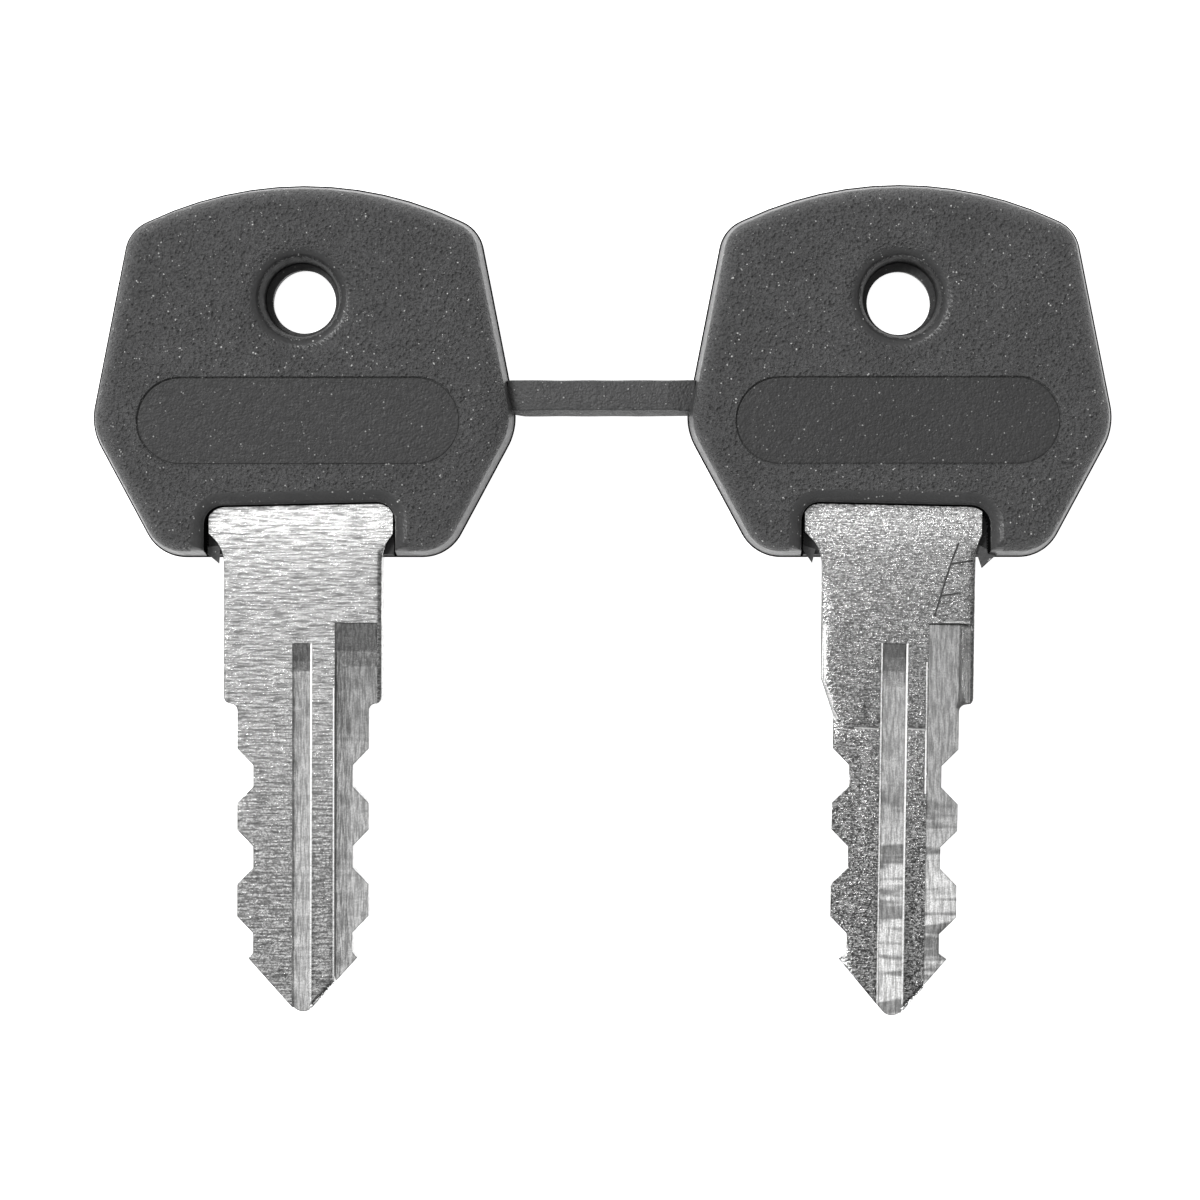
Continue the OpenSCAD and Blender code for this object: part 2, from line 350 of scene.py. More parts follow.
def triangulate(loops, paths, points, keep):
    """Triangles that follow every loop and path. keep tests the triangles' centres."""
    coords, edges = [], []
    for line, closed in [(loop, True) for loop in loops] + [(path, False) for path in paths]:
        start, n = len(coords), len(line)
        coords += [Vector(p) for p in line]
        edges += [(start + i, start + (i + 1) % n) for i in range(n if closed else n - 1)]
    coords += [Vector(p) for p in points]
    found = delaunay_2d_cdt(coords, edges, [], 0, 1e-4)
    flat = np.array([tuple(v) for v in found[0]])
    tris = np.array([tuple(t) for t in found[2]])
    tris = tris[keep(flat[tris].mean(1))]
    used, tris = np.unique(tris, return_inverse=True)
    return flat[used], tris.reshape(-1, 3)


def plate_mesh(name, flat, tris, top, bottom, place):
    """A closed solid between two height fields over the same triangles, with upright rims."""
    n = len(flat)
    low = np.column_stack([flat, bottom])
    high = np.column_stack([flat, top])
    verts = place(np.concatenate([high, low])) * MM
    faces = [tuple(t) for t in tris] + [(t[2] + n, t[1] + n, t[0] + n) for t in tris]
    edges = {(a, b) for t in tris for a, b in zip(t, np.roll(t, -1))}
    for a, b in sorted(e for e in edges if (e[1], e[0]) not in edges):
        faces.append((b, a, a + n, b + n))
    mesh = bpy.data.meshes.new(name)
    mesh.from_pydata([tuple(v) for v in verts], [], [[int(i) for i in f] for f in faces])
    bm = bmesh.new()
    bm.from_mesh(mesh)
    bmesh.ops.remove_doubles(bm, verts=bm.verts, dist=1e-7)
    bmesh.ops.dissolve_degenerate(bm, edges=bm.edges, dist=1e-8)
    bmesh.ops.recalc_face_normals(bm, faces=bm.faces)
    bm.to_mesh(mesh)
    bm.free()
    return mesh


def add_object(name, mesh, materials, sharp_angle=38):
    """An object that shows the mesh, smooth apart from its sharp edges."""
    for face in mesh.polygons:
        face.use_smooth = True
    mesh.set_sharp_from_angle(angle=math.radians(sharp_angle))
    for material in materials:
        mesh.materials.append(material)
    piece = bpy.data.objects.new(name, mesh)
    bpy.context.scene.collection.objects.link(piece)
    return piece


# ---------------------------------------------------------------- node helpers

class Nodes:
    """A short way to write one material's node tree."""

    def __init__(self, name):
        self.material = bpy.data.materials.new(name)
        self.material.use_nodes = True
        self.tree = self.material.node_tree
        self.shader = self.tree.nodes["Principled BSDF"]
        self.coords = self.tree.nodes.new("ShaderNodeTexCoord").outputs["Object"]

    def link(self, a, b):
        self.tree.links.new(a, b)

    def stretched(self, scale):
        """Object coordinates, in millimetres times scale."""
        node = self.tree.nodes.new("ShaderNodeMapping")
        node.inputs["Scale"].default_value = [s / MM for s in scale]
        self.link(self.coords, node.inputs["Vector"])
        return node.outputs["Vector"]

    def noise(self, scale, detail=2.0, roughness=0.5):
        """Soft noise. scale is features to a millimetre along x, y and z."""
        node = self.tree.nodes.new("ShaderNodeTexNoise")
        node.inputs["Scale"].default_value = 1.0
        node.inputs["Detail"].default_value = detail
        node.inputs["Roughness"].default_value = roughness
        self.link(self.stretched(scale), node.inputs["Vector"])
        return node.outputs["Fac"]

    def cells(self, scale):
        """Distance to the nearest of scattered points. scale is as for noise."""
        node = self.tree.nodes.new("ShaderNodeTexVoronoi")
        node.inputs["Scale"].default_value = 1.0
        self.link(self.stretched(scale), node.inputs["Vector"])
        return node.outputs["Distance"]

    def axis(self, index):
        """One object coordinate, in millimetres."""
        split = self.tree.nodes.new("ShaderNodeSeparateXYZ")
        self.link(self.stretched((1, 1, 1)), split.inputs["Vector"])
        return split.outputs[index]

    def ramp(self, value, low, high, out_low=0.0, out_high=1.0):
        """Takes low and high to out_low and out_high, and holds these outside the range."""
        node = self.tree.nodes.new("ShaderNodeMapRange")
        numbers = {"From Min": low, "From Max": high, "To Min": out_low, "To Max": out_high}
        for socket, number in numbers.items():
            node.inputs[socket].default_value = number
        self.link(value, node.inputs["Value"])
        return node.outputs["Result"]

    def math(self, operation, a, b=0.0):
        """An operation on two values, each a socket or a number."""
        node = self.tree.nodes.new("ShaderNodeMath")
        node.operation = operation
        for socket, value in zip(node.inputs, (a, b)):
            if isinstance(value, (int, float)):
                socket.default_value = value
            else:
                self.link(value, socket)
        return node.outputs["Value"]

    def mix(self, factor, a, b):
        """Mixes two colours, given as a socket or as (r, g, b)."""
        node = self.tree.nodes.new("ShaderNodeMix")
        node.data_type = "RGBA"
        sockets = [node.inputs[0], node.inputs[6], node.inputs[7]]
        for socket, value in zip(sockets, (factor, a, b)):
            if isinstance(value, (int, float)):
                socket.default_value = value
            elif isinstance(value, tuple):
                socket.default_value = value + (1.0,)
            else:
                self.link(value, socket)
        return node.outputs[2]

    def bump(self, height, strength, distance_mm, below=None):
        """A normal tilted by a height, on top of the normal below."""
        node = self.tree.nodes.new("ShaderNodeBump")
        node.inputs["Strength"].default_value = strength
        node.inputs["Distance"].default_value = distance_mm * MM
        self.link(height, node.inputs["Height"])
        if below is not None:
            self.link(below, node.inputs["Normal"])
        return node.outputs["Normal"]


def grey(value):
    return (value, value, value * 1.01)


def plastic_material(name, shade, grain, speck_amount, smooth=False, gloss=0.5):
    """Moulded plastic with a spark-eroded grain, faint clouds and small pale specks; the grain's low
    parts and pits are also painted darker, as painted shade in its hollows. The third and fourth
    arguments are the grain's and the specks' strengths; gloss is the strength of the shine."""
    n = Nodes(name)
    n.shader.inputs["Specular IOR Level"].default_value = gloss
    clouds = n.noise((0.35, 0.35, 0.35), detail=3)
    fine = n.noise((7.3, 7.3, 7.3), detail=2.5, roughness=0.65)
    pits = n.ramp(n.cells((3.7, 3.7, 3.7)), 0.1, 0.36, 1.0, 0.0)
    base = n.mix(n.ramp(clouds, 0.3, 0.7), grey(shade * 0.9), grey(shade * 1.15))
    # Painted shade: the grain's low parts, where the fine noise is low, and its pits are painted
    # darker, as shade in its hollows.
    base = n.mix(n.ramp(fine, 0.36, 0.56), grey(shade * (1 - 0.45 * grain)), base)
    base = n.mix(n.math("MULTIPLY", pits, 0.4 * grain), base, grey(shade * 0.4))
    # Small pale specks, scattered at random over the surface.
    size = n.ramp(n.noise((3.7, 3.7, 3.7), detail=1), 0.48, 0.74, 0.0, 0.37)
    specks = n.ramp(n.math("SUBTRACT", size, n.cells((5.2, 5.2, 5.2))), 0.0, 0.17)
    base = n.mix(n.math("MULTIPLY", specks, speck_amount), base, (0.7, 0.7, 0.69))
    n.link(base, n.shader.inputs["Base Color"])
    rough = 0.3 if smooth else 0.48
    scuffs = n.noise((2.5, 2.5, 2.5), detail=4)
    n.link(n.ramp(scuffs, 0.3, 0.7, rough, rough + 0.14), n.shader.inputs["Roughness"])
    pebbles = n.noise((3.6, 3.6, 3.6), detail=1.5, roughness=0.6)
    height = n.math("ADD", n.math("MULTIPLY", pebbles, 0.9), fine)
    height = n.math("SUBTRACT", height, n.math("MULTIPLY", pits, 0.4))
    n.link(n.bump(height, grain, 0.32), n.shader.inputs["Normal"])
    return n.material


# The pitting changes from the tip's contrast to the head's between these heights.
PITTING_Y = (-15, 2)


def metal_material(name, brush, shades, streaks, pits, chatter=None, relief=0.035):
    """Nickel-plated brass. brush is the streaks' features to a millimetre along x, y and z.
    shades are (y, grey) from the tip upwards; streaks is the streaks' contrast; pits are the
    contrast of the pitting at the tip and at the head; chatter is (y0, y1, contrast) of the
    cutter's marks, which set in from y0 to y1; relief is the depth of the streaks in millimetres."""
    n = Nodes(name)
    n.shader.inputs["Metallic"].default_value = 1.0
    y = n.axis(1)
    # Grey against height, from the shades table; on the faces and in the slots this carries painted
    # highlight and painted shade.
    tone = shades[0][1]
    for (y0, low), (y1, high) in zip(shades, shades[1:]):
        step = n.ramp(y, y0, y1, 0, high - low)
        tone = n.math("ADD", step, tone)
    scores = n.noise(brush, detail=3, roughness=0.6)
    fine = n.ramp(scores, 0.4, 0.6)
    wide = n.ramp(n.noise([f * 0.3 for f in brush], detail=3), 0.35, 0.65)
    lines = n.math("ADD", n.math("MULTIPLY", fine, 0.88), n.math("MULTIPLY", wide, 0.12))
    tone = n.math("MULTIPLY", tone, n.ramp(lines, 0, 1, 1 + streaks * 0.5, 1 - streaks))
    grit = n.noise((9, 10, 9), detail=2, roughness=0.8)
    grains = n.ramp(grit, 0.42, 0.58)
    pitting = n.math("MULTIPLY", n.math("ADD", grains, 0.1), n.ramp(y, *PITTING_Y, *pits))
    tone = n.math("MULTIPLY", tone, n.math("SUBTRACT", 1.3, pitting))
    if chatter:
        y0, y1, contrast = chatter
        marks = n.ramp(n.noise((0.15, 0.9, 0.15), detail=2, roughness=0.7), 0.46, 0.54)
        loss = n.math("MULTIPLY", marks, n.ramp(y, y0, y1, 0, contrast))
        tone = n.math("MULTIPLY", tone, n.math("SUBTRACT", 1.0, loss))
    colour = n.mix(n.math("MINIMUM", tone, 1.0), (0, 0, 0), (1, 1, 0.995))
    n.link(colour, n.shader.inputs["Base Color"])
    n.link(n.ramp(lines, 0, 1, 0.16, 0.27), n.shader.inputs["Roughness"])
    normal = n.bump(scores, 0.5, relief)
    normal = n.bump(grit, max(pits), 0.022, normal)
    n.link(normal, n.shader.inputs["Normal"])
    return n.material


# ---------------------------------------------------------------- heads

def rim_profile():
    """Half thickness of the head against the distance in from its outline, as two lists."""
    wall = math.tan(DRAFT)
    arc_start = HEAD_HALF_T - EDGE_R + EDGE_R * math.sin(DRAFT)
    arc_centre = EDGE_R * math.cos(DRAFT) + arc_start * wall
    insets = [0.0, LIP_W]
    heights = [0.0, LIP_HALF_T]
    for a in np.linspace(DRAFT, math.pi / 2, EDGE_STEPS + 1):
        insets.append(LIP_W + arc_centre - EDGE_R * math.cos(a))
        heights.append(HEAD_HALF_T - EDGE_R + EDGE_R * math.sin(a))
    return insets, heights


RIM_INSET, RIM_HEIGHT = rim_profile()

# Half thickness round the ring hole against the distance from its axis, front and back.
HOLE_FRONT = ([2.06, 2.08, 2.22, 2.31, 2.39, 2.5, 2.68, 2.95, 3.3],
              [0.0, 0.12, 1.2, 1.9, 2.08, 2.2, 2.33, 2.44, 2.5])
HOLE_BACK = ([1.8, 1.83, 1.9, 1.97, 2.1, 2.3, 2.6],
             [0.0, 0.9, 1.7, 2.1, 2.33, 2.46, 2.5])
# Depth of the label recess against the distance in from its edge.
LABEL_STEP = ([-0.07, -0.03, 0.0, 0.025, 0.06, 0.1, 0.14],
              [0.0, 0.0, 0.03, 0.17, 0.18, LABEL_DEPTH, LABEL_DEPTH])
# Half thickness of the head against the distance out from the edge of its bottom notch.
NOTCH_STEP = ([-0.06, 0.0, 0.1, 0.15, 0.24, 0.38, 0.57, 0.8, 1.0],
              [0.5, 1.05, 1.85, 1.99, 2.13, 2.26, 2.38, 2.46, 2.5])


def head_corners():
    """A head's outline, from its bottom right corner up and round."""
    return HEAD_SIDE + [HEAD_TOP] + mirrored(HEAD_SIDE)


def label_distance(p):
    """Distance in from the edge of the label recess; negative outside it."""
    half = (LABEL_L - LABEL_H) / 2
    x = p[:, 0] - LABEL_X
    q = np.stack([x - np.clip(x, -half, half), p[:, 1] - LABEL_Y], 1)
    return LABEL_H / 2 - np.linalg.norm(q, axis=1)


def label_loop(out):
    """A line at a distance out from the edge of the label recess."""
    half = (LABEL_L - LABEL_H) / 2
    r = LABEL_H / 2 + out
    a = np.linspace(-math.pi / 2, math.pi / 2, 25)
    right = np.stack([half + r * np.cos(a), LABEL_Y + r * np.sin(a)], 1)
    return np.concatenate([right, right[::-1] * [-1, 1]]) + [LABEL_X, 0]


def notch_distance(p, side):
    """Distance out from the bottom notch, whose top edge is tilted; negative inside it."""
    low, high = NOTCH_X[side]
    x = p[:, 0] - (low + high) / 2
    q = np.stack([np.abs(x) - (high - low) / 2 + NOTCH_R,
                  p[:, 1] - NOTCH_TILT[side] * x - NOTCH_TOP_Y + NOTCH_R], 1)
    return np.linalg.norm(np.maximum(q, 0), axis=1) + np.minimum(q.max(1), 0) - NOTCH_R


def notch_path(out, side):
    """An open line at a distance out from the edge of the bottom notch."""
    low, high = NOTCH_X[side]
    half = (high - low) / 2
    a = np.linspace(0, math.pi / 2, 9)
    r = NOTCH_R + out
    x = half - NOTCH_R + r * np.cos(a)
    y = NOTCH_TOP_Y - NOTCH_R + r * np.sin(a)
    right = np.concatenate([[[half + out, HEAD_BOTTOM_Y - 1]], np.stack([x, y], 1)])
    line = np.concatenate([right, right[::-1] * [-1, 1]])
    line[:, 1] += NOTCH_TILT[side] * line[:, 0]
    return line + [(low + high) / 2, 0]


def hole_radius(p, side, back=False):
    """Distance from the axis of the ring hole's front or back half."""
    dx, dy = HOLE_SHIFT[side][1 if back else 0]
    return np.hypot(p[:, 0] - dx, p[:, 1] - RING_Y - dy)


def head_half_height(p, edge, side, radius, hole):
    """Half thickness of a head at each point, towards one face."""
    height = np.interp(distance(p, edge), RIM_INSET, RIM_HEIGHT)
    height = np.minimum(height, HEAD_HALF_T - np.interp(label_distance(p), *LABEL_STEP))
    height = np.minimum(height, np.interp(notch_distance(p, side), *NOTCH_STEP))
    height = np.minimum(height, np.interp(radius, *hole))
    waves = SINK * (2 + np.sin(0.9 * p[:, 0]) + np.cos(0.7 * p[:, 1]))
    return height - waves * np.clip(height - SINK_FROM, 0, SINK_RUN) / SINK_RUN


def head_lines(side):
    """The closed and the open lines along which a head's faces bend."""
    corners = head_corners()
    loops = [outline(corners, inset) for inset in RIM_INSET + [RIM_INSET[-1] + RIM_MARGIN]]
    radii = (HOLE_FRONT[0] + [HOLE_FRONT[0][-1] + HOLE_MARGIN], HOLE_BACK[0])
    for (dx, dy), rings in zip(HOLE_SHIFT[side], radii):
        loops += [circle((dx, RING_Y + dy), r) for r in rings]
    loops += [label_loop(-inward) for inward in LABEL_STEP[0]]
    return loops, [notch_path(out, side) for out in NOTCH_STEP[0]]


def head_points(side, edge):
    """Free points of a head's triangles: clear of its lines, and close together at the corners
    between its notch and its bottom edge."""
    points = grid((-13, 1), (13, 24), HEAD_PITCH)
    clear = (inside(points, edge) & (distance(points, edge) > HEAD_CLEAR["rim"])
             & (np.abs(label_distance(points)) > HEAD_CLEAR["label"])
             & (notch_distance(points, side) > HEAD_CLEAR["notch"])
             & (hole_radius(points, side) > HEAD_CLEAR["hole"]))
    corners = grid((4.4, 2.3), (5.9, 4.1), CORNER_PITCH)
    corners = np.concatenate([corners, corners * [-1, 1]])
    near = inside(corners, edge) & (distance(corners, edge) > 0.05)
    return np.concatenate([points[clear], corners[near]])


def add_flash(mesh, side):
    """Adds the slivers of flash to a head's mesh: each is a root edge that tapers to a point."""
    bm = bmesh.new()
    bm.from_mesh(mesh)
    z = MID_Z + BLADE_HALF_T - FLASH_SINK
    for fin in FLASH[side]:
        *roots, point = [(x + KEY_X[side], y) for x, y in fin]
        ends = [bm.verts.new(Vector((x, y, z + dz)) * MM) for x, y in roots for dz in (0, -FLASH_T)]
        tip = bm.verts.new(Vector((*point, z - FLASH_T * 0.4)) * MM)
        a0, a1, b0, b1 = ends
        for face in ((a0, b0, tip), (b1, a1, tip), (a1, a0, tip), (b0, b1, tip), (a0, a1, b1, b0)):
            bm.faces.new(face)
    bmesh.ops.recalc_face_normals(bm, faces=bm.faces)
    bm.to_mesh(mesh)
    bm.free()


def head_material_index(mesh, side, edge):
    """The material slot of each face of a head."""
    centres = np.array([p.center for p in mesh.polygons]) / MM - [KEY_X[side], 0, MID_Z]
    p = centres[:, :2]
    rim = distance(p, edge)
    to_notch = notch_distance(p, side)
    radius = hole_radius(p, side)
    near_face = np.abs(centres[:, 2]) > HEAD_HALF_T - LABEL_SKIN
    index = np.full(len(centres), GRAIN, np.int32)
    index[(label_distance(p) > 0.05) & near_face] = LABEL
    index[((rim < RIM_INSET[2]) & (to_notch > 0)) | (to_notch < NOTCH_RIM_TO)] = WALL
    index[radius < HOLE_RIM_TO] = WALL
    # Painted shade: the ring hole's bore and, below, the wall inside the notch's edge get a much darker
    # plastic.
    index[radius < BORE_TO] = SHADED_BORE
    # Painted shadow: black plastic with no shine along the parting lip, and at the notch's edge next to
    # the blade.
    index[(rim < LIP_W) | (to_notch < NOTCH_SHADOW_TO)] = PAINTED_SHADOW
    index[to_notch < NOTCH_WALL_TO] = SHADED_BORE
    return index


def head_mesh(side):
    """A head: two height fields that meet at the parting line and at the narrow part of the hole."""
    edge = outline(head_corners())
    flat, tris = triangulate(
        *head_lines(side), head_points(side, edge),
        lambda c: inside(c, edge) & (hole_radius(c, side, True) > RING_R * 0.9995))
    top = MID_Z + head_half_height(flat, edge, side, hole_radius(flat, side), HOLE_FRONT)
    bottom = MID_Z - head_half_height(flat, edge, side, hole_radius(flat, side, True), HOLE_BACK)
    rims = (distance(flat, edge) < 1e-3) | (hole_radius(flat, side, True) < RING_R + 1e-3)
    top[rims] = bottom[rims] = MID_Z
    name = side + "_key_head"
    mesh = plate_mesh(name, flat, tris, top, bottom, lambda v: v + [KEY_X[side], 0, 0])
    faces_without_flash = len(mesh.polygons)
    add_flash(mesh, side)
    index = head_material_index(mesh, side, edge)
    index[faces_without_flash:] = WALL
    mesh.polygons.foreach_set("material_index", index)
    return mesh


# ---------------------------------------------------------------- blades

def flank(side):
    """The right flank of a blade from the barb at its tip up to the last tooth."""
    low, tooth, half = BITTING_HALF[side], TOOTH_HALF[side], BITTING_FLOOR / 2
    points = [(*BARB, 0), (low, BITTING_Y[2] - half + BARB_RUN, 0), (low, BITTING_Y[2] + half, 0),
              (tooth, BITTING_Y[2] + half + BITTING_RUN, 0)]
    for y in (BITTING_Y[1], BITTING_Y[0]):
        points += [(tooth, y - half - BITTING_RUN, 0), (low, y - half, 0),
                   (low, y + half, 0), (tooth, y + half + BITTING_RUN, 0)]
    return points


def blade_corners(side):
    """A blade's outline, from its tip up the right flank to the tang, and down the left flank."""
    tooth, shank = TOOTH_HALF[side], SHANK_HALF[side]
    square = [(tooth, SHOULDER_Y, SHOULDER_R), (shank, SHOULDER_Y, SHOULDER_R)]
    worn = [(tooth, WORN_SHOULDER_Y[1], SHOULDER_R), (shank, WORN_SHOULDER_Y[0], SHOULDER_R)]
    roots = [[(shank, FLARE_FROM_Y, FLARE_R), (half, FLARE_TO_Y, 0), (half, TANG_TOP_Y, TANG_R)]
             for half in FLARE[side]]
    tip = [(0.0, TIP_Y[side] - TIP_R * (1 / math.sin(TIP_HALF_ANGLE) - 1), TIP_R)]
    left_shoulder = worn if side == "right" else square
    return (tip + flank(side) + square + roots[1] + mirrored(roots[0])
            + mirrored(left_shoulder) + mirrored(flank(side)))


def slot_depth(p, slot, flip):
    """Depth of a milled slot at each point. flip is -1 for the slot of the back face."""
    across, depths = zip(*slot["section"])
    share = np.interp(slot["start"] - p[:, 1], *slot["run_in"])
    return np.minimum(np.interp(flip * p[:, 0], across, depths), max(depths) * share)


def slot_paths(slot, flip, end_y):
    """The lines along which a slot's surface bends."""
    across = [x for x, _ in slot["section"]]
    start = slot["start"]
    lines = [[(x, end_y), (x, start)] for x in across]
    lines += [[(across[0], start - d), (across[-1], start - d)] for d in slot["run_in"][0]]
    return [np.array(line) * [flip, 1] for line in lines]


def beside(line, gap):
    """An open line moved to its right by gap, each corner along its mitre."""
    line = np.array(line, float)
    ahead = np.diff(line, axis=0)
    ahead /= np.linalg.norm(ahead, axis=1)[:, None]
    normal = np.stack([ahead[:, 1], -ahead[:, 0]], 1)
    first, last = np.vstack([normal[:1], normal]), np.vstack([normal, normal[-1:]])
    scale = 1 + (first * last).sum(1)
    return line + gap * (first + last) / scale[:, None]


def roll_depth(p, side):
    """How far the front face drops along its rolled and worn edges."""
    depth = np.zeros(len(p))
    for line, width, edge_depth, _ in ROLLS[side]:
        share = np.clip(1 - distance(p, np.array(line), closed=False) / width, 0, 1)
        depth = np.maximum(depth, edge_depth * share ** ROLL_POWER)
    return depth


def blade_half_height(p, edge, side, flip):
    """Half thickness of a blade at each point. flip is 1 for the front face and -1 for the back."""
    insets = [0, BLADE_BEVEL * 0.4, BLADE_BEVEL]
    bevel = np.interp(distance(p, edge), insets, [BLADE_BEVEL, BLADE_BEVEL * 0.3, 0])
    drop = np.maximum(*[slot_depth(p, slot, flip) for slot in SLOTS[side]]) + bevel
    if flip == 1:
        drop = np.maximum(drop, roll_depth(p, side) + bevel)
    return BLADE_HALF_T - drop


def blade_paths(side, end_y):
    """The open lines along which a blade's faces bend or change their material."""
    paths = []
    for flip in (1, -1):
        for slot in SLOTS[side]:
            paths += slot_paths(slot, flip, end_y)
    for line, width, _, _ in ROLLS[side]:
        paths += [beside(line, width * share) for share in (-1, -0.5, 0, 0.25, 0.5, 0.75, 1)]
    for line in SCRATCHES[side]:
        paths += [beside(line, gap) for gap in (-SCRATCH_HALF, 0, SCRATCH_HALF)]
    return paths


def blade_points(side, edge, paths, end_y):
    """Free points of a blade's triangles: clear of its lines, and close together in the run-ins."""
    points = grid((-5.5, end_y), (5.5, TANG_TOP_Y + 0.5), BLADE_PITCH)
    clear = inside(points, edge) & (distance(points, edge) > BLADE_CLEAR["rim"])
    for path in paths:
        clear &= distance(points, path, closed=False) > BLADE_CLEAR["line"]
    parts = [points[clear]]
    for flip in (1, -1):
        for slot in SLOTS[side]:
            x0, x1 = slot["section"][0][0], slot["section"][-1][0]
            y0 = slot["start"] - slot["run_in"][0][-1]
            parts.append(grid((x0, y0), (x1, slot["start"]), RUN_IN_PITCH) * [flip, 1])
    points = np.concatenate(parts)
    return points[inside(points, edge) & (distance(points, edge) > BLADE_BEVEL * 1.5)]


def blade_material_index(centres, normal_z, side):
    """The material slot of each of a blade's faces, from its middle and its normal."""
    p = centres[:, :2]
    upright = normal_z < STEEP
    deep = np.abs(centres[:, 2]) < BLADE_HALF_T - SLOT_FROM
    sunk = deep & (normal_z > STEEP) & (p[:, 1] < SLOT_TOP_Y)
    index = np.where(upright, CUT, np.where(sunk, GROOVE, BRUSHED)).astype(np.int32)
    groove, channel = SLOTS[side]
    index[sunk & (np.abs(p[:, 0]) > channel["section"][0][0])] = CHANNEL
    # Near-white metal on the groove's chamfers and on the shining share of the rolled edges: painted
    # highlight, and polish where the shoulder is worn.
    across = [x for x, _ in groove["section"]]
    bright = (p[:, 0] > across[-2]) & (p[:, 0] < across[-1])
    if side == "right":
        bright |= (p[:, 0] > across[0]) & (p[:, 0] < across[1])
    bright &= p[:, 1] < groove["start"]
    for line, width, _, shine in ROLLS[side]:
        bright |= distance(p, np.array(line), closed=False) < width * shine
    dark = np.zeros(len(centres), bool)
    for line in SCRATCHES[side]:
        dark |= distance(p, np.array(line), closed=False) < SCRATCH_HALF
    front = (centres[:, 2] > 0) & ~upright
    index[bright & front] = POLISH_AND_HIGHLIGHT
    index[dark & front] = SCRATCHED
    return index


def blade_mesh(side):
    """A blade: two height fields with the slots and bevels, leaning a little in its head."""
    edge = outline(blade_corners(side), steps=8)
    loops = [edge, inset_line(edge, BLADE_BEVEL * 0.4), inset_line(edge, BLADE_BEVEL)]
    end_y = TIP_Y[side] - 1
    paths = blade_paths(side, end_y)
    points = blade_points(side, edge, paths, end_y)
    flat, tris = triangulate(loops, paths, points, lambda c: inside(c, edge))
    top = MID_Z + blade_half_height(flat, edge, side, 1)
    bottom = MID_Z - blade_half_height(flat, edge, side, -1)
    lean_cos, lean_sin = math.cos(LEAN[side]), math.sin(LEAN[side])
    turn = np.array([[lean_cos, lean_sin, 0], [-lean_sin, lean_cos, 0], [0, 0, 1]])
    axis_x = KEY_X[side] + BLADE_SHIFT[side]
    name = side + "_key_blade"
    mesh = plate_mesh(name, flat, tris, top, bottom, lambda v: v @ turn.T + [axis_x, 0, 0])
    centres = (np.array([p.center for p in mesh.polygons]) / MM - [axis_x, 0, MID_Z]) @ turn
    normal_z = np.abs(np.array([p.normal[2] for p in mesh.polygons]))
    mesh.polygons.foreach_set("material_index", blade_material_index(centres, normal_z, side))
    return mesh


# ---------------------------------------------------------------- web

def web_section(h, t):
    """The web's section as points (y, z) about its middle, anticlockwise, with softened edges."""
    low = WEB_SLOPE_LOW * t / WEB_T
    top = WEB_SLOPE_TOP * t / WEB_T
    corners = [(-h / 2, 0, 0.05), (-h / 2 + low, -t / 2, 0.12), (h / 2 - top, -t / 2, 0.1),
               (h / 2, 0, 0.05), (h / 2 - top, t / 2, 0.1), (-h / 2 + low, t / 2, 0.12)]
    return outline(corners, steps=4)


def web_mesh(name, stations):
    """A bar through sections at stations (x, height, depth, lift of the lower side)."""
    bm = bmesh.new()
    rings = []
    for x, h, t, lift in stations:
        ring = []
        for y, z in web_section(h, t):
            lifted = y + lift * max(0.0, -y) / (h / 2)
            ring.append(bm.verts.new(Vector((x, WEB_Y + lifted, MID_Z + z)) * MM))
        rings.append(ring)
    n = len(rings[0])
    for a, b in zip(rings, rings[1:]):
        for i in range(n):
            bm.faces.new((a[i], a[(i + 1) % n], b[(i + 1) % n], b[i]))
    bm.faces.new(rings[0])
    bm.faces.new(rings[-1])
    bmesh.ops.recalc_face_normals(bm, faces=bm.faces)
    mesh = bpy.data.meshes.new(name)
    bm.to_mesh(mesh)
    bm.free()
    return mesh


def web_height(x):
    """The web's height across its length, which is slightly uneven."""
    return WEB_H - WEB_WAVE * (1 + math.sin(2.1 * x))


def bar_stations():
    """The whole bar, at one depth."""
    places = np.linspace(BAR_END_X["left"], BAR_END_X["right"], WEB_STATIONS)
    return [(x, web_height(x), WEB_T, 0.0) for x in places]


def neck_stations(side):
    """From the bar's end, where the section is the same, to the head's wall, where it is thinner."""
    stations = []
    for t in np.linspace(0, 1, WEB_STATIONS):
        x = BAR_END_X[side] + t * (HEAD_END_X[side] - BAR_END_X[side])
        depth = WEB_T + (NECK_T - WEB_T) * t ** NECK_POWER
        start, rise = NECK_RISE[side]
        stations.append((x, web_height(x), depth, rise * max(0.0, t - start)))
    return stations


# ---------------------------------------------------------------- build the pieces

plastic = plastic_material("head_plastic", 0.087, 0.85, 0.85)
label_plastic = plastic_material("label_plastic", 0.026, 0.2, 0.4, gloss=0.38)
wall_plastic = plastic_material("wall_plastic", 0.05, 0.15, 0.8, smooth=True)
# Painted shade: much darker plastic for the ring hole's bore and for the wall inside the notch's edge.
shaded_bore_plastic = plastic_material("shaded_bore_plastic", 0.021, 0.1, 0.2, gloss=0.35)
# Painted shadow: near-black plastic with no shine, for the parting lip and for the notch's edge where
# the blade meets the head.
painted_shadow_plastic = plastic_material("painted_shadow_plastic", 0.004, 0.1, 0.0, gloss=0.0)
web_plastic = plastic_material("web_plastic", 0.05, 0.35, 0.5)
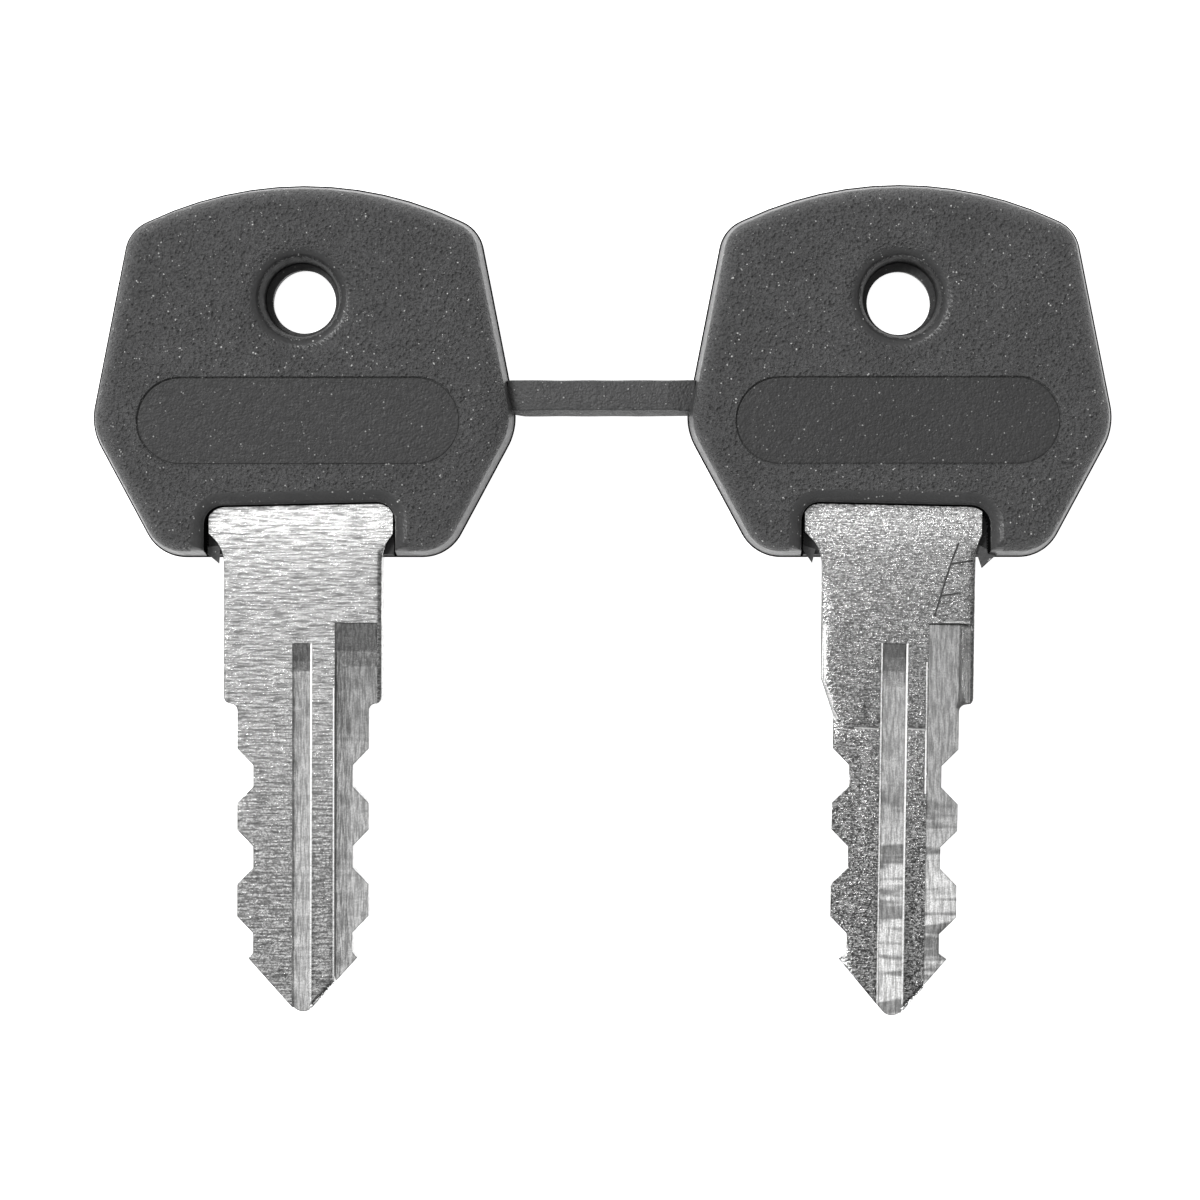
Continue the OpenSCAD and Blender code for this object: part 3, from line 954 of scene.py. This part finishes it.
# Both faces' grey rises towards the head: a painted highlight on the blade's root under the notch.
brushed = {
    "left": metal_material("left_face_metal", brush=(0.9, 8.6, 8.6), streaks=0.66, pits=(0.8, 0.2),
                           shades=[(-14, 0.42), (-5, 0.42), (1, 0.405), (3, 0.47), (4.3, 0.63)],
                           relief=0.013),
    "right": metal_material("right_face_metal", brush=(2, 13, 13), streaks=0.45, pits=(1.1, 0.75),
                            shades=[(-14, 0.38), (-2, 0.35), (2.5, 0.43), (4.5, 0.64)]),
}
# The milled slots are brushed along the blade and show the cutter's marks.
MILLED = {
    "left": dict(brush=(9, 0.9, 9), streaks=0.45, pits=(0.3, 0.3), chatter=(-2, -6, 0.2)),
    "right": dict(brush=(7, 0.9, 7), streaks=0.35, pits=(0.3, 0.2), chatter=(-9, -14, 0.6)),
}
# The slots' grey against height holds painted light and shade: the left groove's and left channel's
# tops are painted lighter against the shade of their run-ins, and the left channel is painted darker
# over its upper part, most at about 3 mm below its start. The right slots are lighter towards the tip.
GROOVE_SHADES = {
    "left": [(-20, 0.5), (-8, 0.4), (-4.3, 0.38), (-1.3, 0.5)],
    "right": [(-16, 0.72), (-12, 0.42), (-2, 0.36)],
}
CHANNEL_SHADES = {
    "left": [(-20, 0.46), (-9, 0.36), (-6.5, 0.31), (-4.5, 0.27), (-3, 0.3), (-1.3, 0.46)],
    "right": [(-16, 0.64), (-12, 0.37), (-2, 0.31)],
}
groove_metal = {
    side: metal_material(side + "_groove_metal", shades=GROOVE_SHADES[side], **MILLED[side])
    for side in SIDES}
channel_metal = {
    side: metal_material(side + "_channel_metal", shades=CHANNEL_SHADES[side], **MILLED[side])
    for side in SIDES}
cut_edge = metal_material("cut_edge_metal", (6, 6, 0.8), [(-20, 0.6), (-5, 0.6)], 0.3, (0.3, 0.3))
# Near-white metal: polish on the worn shoulder, and painted highlight on the edges and chamfers that
# catch the light.
polish_and_highlight = metal_material("polished_and_highlight_edge_metal", (3, 3, 3), [(-20, 0.97), (0, 1.0)], 0.1, (0.3, 0.3))
scratched = metal_material("scratched_metal", (3, 3, 3), [(-20, 0.04), (0, 0.06)], 0.2, (0.3, 0.3))

for side in SIDES:
    body = side + "_key"
    head = add_object(side + "_key_head", head_mesh(side),
                      [plastic, label_plastic, wall_plastic, shaded_bore_plastic, painted_shadow_plastic])
    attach(head, body)
    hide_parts(side + "_head")

    blade = add_object(side + "_key_blade", blade_mesh(side),
                       [brushed[side], groove_metal[side], cut_edge, polish_and_highlight, scratched,
                        channel_metal[side]], sharp_angle=25)
    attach(blade, body)
    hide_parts(side + "_blade")

    neck_shape = web_mesh(side + "_web_neck", neck_stations(side))
    neck = add_object(side + "_web_neck", neck_shape, [web_plastic])
    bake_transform(neck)
    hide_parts(side + "_neck")

bar = add_object("web_bar", web_mesh("web_bar", bar_stations()), [web_plastic])
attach(bar, "link")
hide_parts("link_bar")


# ---------------------------------------------------------------- floor, light and camera

def add_floor():
    """A white light table: it glows a little, so that it stays pale round the keys."""
    n = Nodes("floor_white")
    n.shader.inputs["Roughness"].default_value = 0.7
    n.shader.inputs["Emission Color"].default_value = (1, 1, 1, 1)
    n.shader.inputs["Emission Strength"].default_value = 0.9
    clouds = n.ramp(n.noise((0.02, 0.02, 0.02)), 0.3, 0.7)
    colour = n.mix(clouds, (0.93, 0.93, 0.93), (0.95, 0.95, 0.95))
    n.link(colour, n.shader.inputs["Base Color"])
    mesh = bpy.data.meshes.new("floor")
    half = 1.5
    corners = [(-half, -half, 0), (half, -half, 0), (half, half, 0), (-half, half, 0)]
    mesh.from_pydata(corners, [], [(0, 1, 2, 3)])
    mesh.materials.append(n.material)
    floor = bpy.data.objects.new("floor", mesh)
    bpy.context.scene.collection.objects.link(floor)


def add_area_light(name, place, target, width, height, power):
    """A rectangular lamp that faces its target. Places and sizes are in metres."""
    data = bpy.data.lights.new(name, "AREA")
    data.shape = "RECTANGLE"
    data.size, data.size_y = width, height
    data.energy = power
    lamp = bpy.data.objects.new(name, data)
    lamp.location = place
    lamp.rotation_euler = (Vector(target) - Vector(place)).to_track_quat("-Z", "Y").to_euler()
    bpy.context.scene.collection.objects.link(lamp)


def add_world(strength):
    """An evenly lit white room."""
    world = bpy.data.worlds.new("studio")
    world.use_nodes = True
    background = world.node_tree.nodes["Background"]
    background.inputs["Color"].default_value = (1, 1, 1, 1)
    background.inputs["Strength"].default_value = strength
    bpy.context.scene.world = world


def add_camera():
    """Nearly straight down on the pair, from a little right of its middle."""
    data = bpy.data.cameras.new("camera")
    frame_width = 68.57 * MM
    height = 250 * MM
    to_right = 4.6 * MM
    centre = Vector((-0.086 * MM, 0, MID_Z * MM))
    data.sensor_width = 36
    data.angle = 2 * math.atan(frame_width / 2 / (height - centre.z))
    data.clip_start = 0.01
    camera = bpy.data.objects.new("camera", data)
    camera.location = (to_right, 0, height)
    camera.rotation_euler = (0, math.atan2(camera.location.x - centre.x, height - centre.z), 0)
    bpy.context.scene.collection.objects.link(camera)
    bpy.context.scene.camera = camera


add_floor()
add_world(0.3)
add_area_light("softbox", (-0.3, 0.35, 1.0), (-0.3, 0.35, 0), 1.2, 1.2, 3.6)
add_area_light("key_light", (-0.5, 0.4, 1.0), (0, 0, 0), 0.3, 0.3, 11)
add_camera()
bpy.context.scene.view_settings.view_transform = "Standard"
